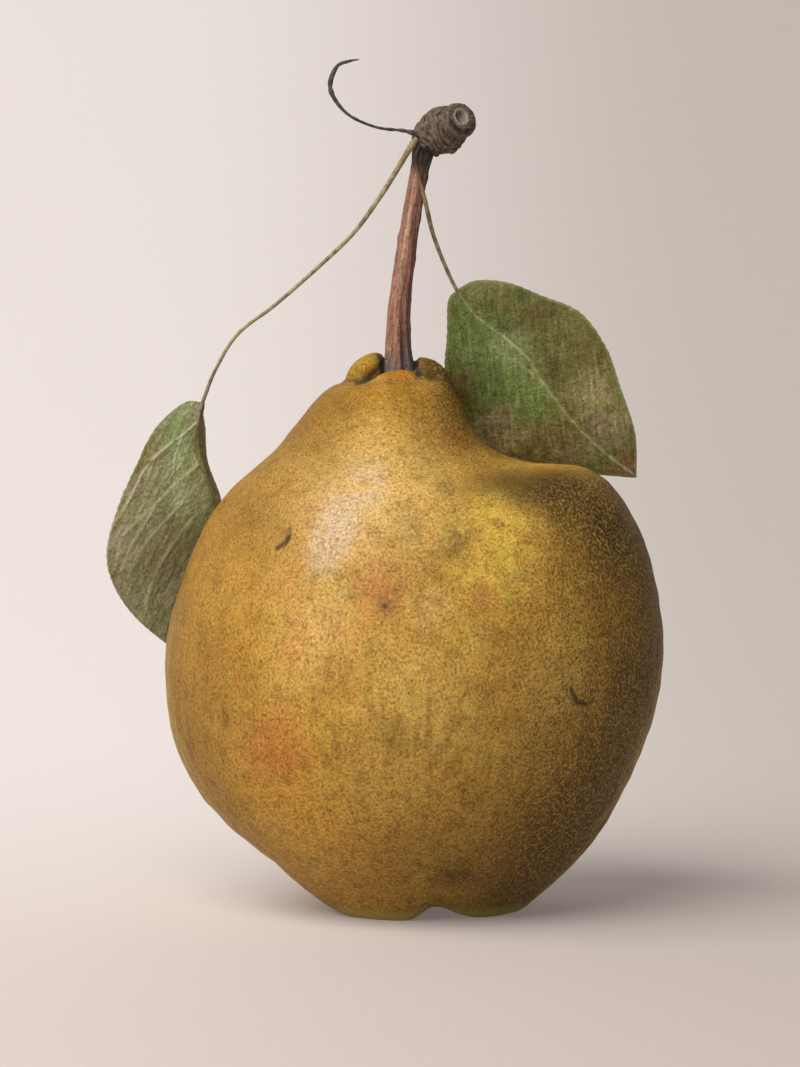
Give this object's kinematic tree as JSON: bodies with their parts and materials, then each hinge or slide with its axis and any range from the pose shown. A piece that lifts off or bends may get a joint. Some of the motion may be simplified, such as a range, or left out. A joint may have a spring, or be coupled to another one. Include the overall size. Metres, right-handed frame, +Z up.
{
  "type": "pear with leaves",
  "caption": "Whole ripe pear with a russet yellow skin, a woody stem on a gnarled knob of spur, green leaves on thin stalks and a curled dried stalk.",
  "frame": {"origin": "on the ground, under the middle of the whole with its leaves; the fruit's own axis is 5 mm to its right, at x = 5 mm", "axes": "+Z up, the fruit standing on the lobes round its eye; -Y is the front that shows both leaves beside the fruit; +X is to the right of one who faces that front"},
  "size_m": [0.0954, 0.0834, 0.1445],
  "materials": {
    "pear_skin": "satin",
    "calyx_brown": "matte",
    "stem_bark": "matte",
    "spur_bark": "matte",
    "petiole_straw": "matte",
    "leaf_underside": "matte",
    "leaf_green": "satin",
    "dried_stalk": "matte"
  },
  "bodies": {
    "root": {"fruit": "pear_skin", "calyx": "calyx_brown", "stem": "stem_bark", "spur": "spur_bark", "leaf_left_petiole": "petiole_straw", "leaf_right_petiole": "petiole_straw", "leaf_left_blade": "leaf_underside", "leaf_right_blade": "leaf_green", "dried_stalk": "dried_stalk"}
  },
  "joints": []
}
